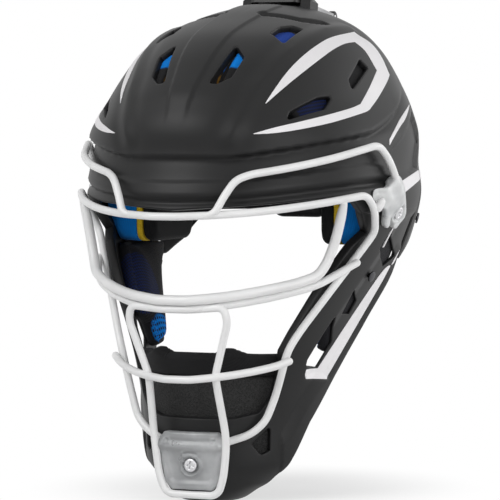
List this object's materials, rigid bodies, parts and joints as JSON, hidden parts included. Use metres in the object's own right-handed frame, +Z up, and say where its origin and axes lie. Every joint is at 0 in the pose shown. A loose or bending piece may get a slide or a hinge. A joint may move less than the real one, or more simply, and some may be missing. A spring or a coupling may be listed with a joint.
{
  "type": "catcher helmet with face cage",
  "caption": "Hockey-style catcher helmet: one-piece vented shell and chin, white bent-wire face cage in frosted clips, padded inside, with a hinged rear plate.",
  "frame": {"origin": "centre of the bounding box at the lowest level of the chin", "axes": "+X to the wearer's left, -Y the way the face looks, +Z up through the crown"},
  "size_m": [0.227, 0.2769, 0.3303],
  "materials": {
    "shell_charcoal": "moulded shell, matt charcoal",
    "cage_white": "white powder coat on steel wire",
    "clip_frosted": "frosted translucent plastic",
    "guide_black": "black moulded plastic",
    "screw_black": "black coated steel",
    "nut_steel": "zinc plated steel",
    "pad_black": "black brushed fabric over foam",
    "foam_grey": "coarse open-cell foam",
    "foam_blue": "bright blue foam",
    "foam_yellow": "yellow foam band",
    "strap_black": "black woven elastic"
  },
  "bodies": {
    "helmet": {"front_shell": "shell_charcoal", "crown_guide": "guide_black", "perimeter_wire": "cage_white", "eye_port_wire": "cage_white", "upper_cross_bar": "cage_white", "lower_cross_bar": "cage_white", "chin_loop_wire": "cage_white", "brow_loop_left": "cage_white", "brow_loop_right": "cage_white", "hook_stubs": "cage_white", "temple_clip_left": "clip_frosted", "temple_clip_right": "clip_frosted", "chin_clip": "clip_frosted", "clip_screws": "nut_steel", "clip_nuts": "nut_steel", "jaw_rivets": "screw_black", "guide_rivets": "screw_black", "side_strap_left": "strap_black", "side_strap_right": "strap_black", "brow_pad": "pad_black", "crown_pad_middle": "foam_blue", "crown_pad_left": "foam_blue", "crown_pad_right": "foam_blue", "temple_pad_left": "foam_blue", "temple_pad_right": "foam_blue", "jaw_pad_left": "pad_black", "jaw_pad_right": "pad_black", "ear_liner_left": "pad_black", "ear_liner_right": "pad_black", "ear_band_left": "foam_yellow", "ear_band_right": "foam_yellow", "ear_foam_left": "foam_blue", "ear_foam_right": "foam_blue", "chin_pad": "pad_black", "chin_foam": "foam_grey"},
    "ladder": {"crown_ladder": "clip_frosted"},
    "rear_plate": {"back_plate": "shell_charcoal", "hinge_pin": "nut_steel", "strap_studs": "screw_black", "nape_pad_left": "pad_black", "nape_pad_right": "pad_black"}
  },
  "joints": [
    {"name": "ladder_slide", "type": "slide", "parent": "helmet", "child": "ladder", "axis": [0, 0.9863, -0.165], "range_m": [0, 0.008]},
    {"name": "plate_hinge", "type": "hinge", "parent": "ladder", "child": "rear_plate", "pos_m": [0, 0.09841, 0.31588], "axis": [1, 0, 0], "range_deg": [0, 12], "stiffness_Nm_per_rad": 3, "deforming": ["side_strap_left", "side_strap_right"]}
  ]
}
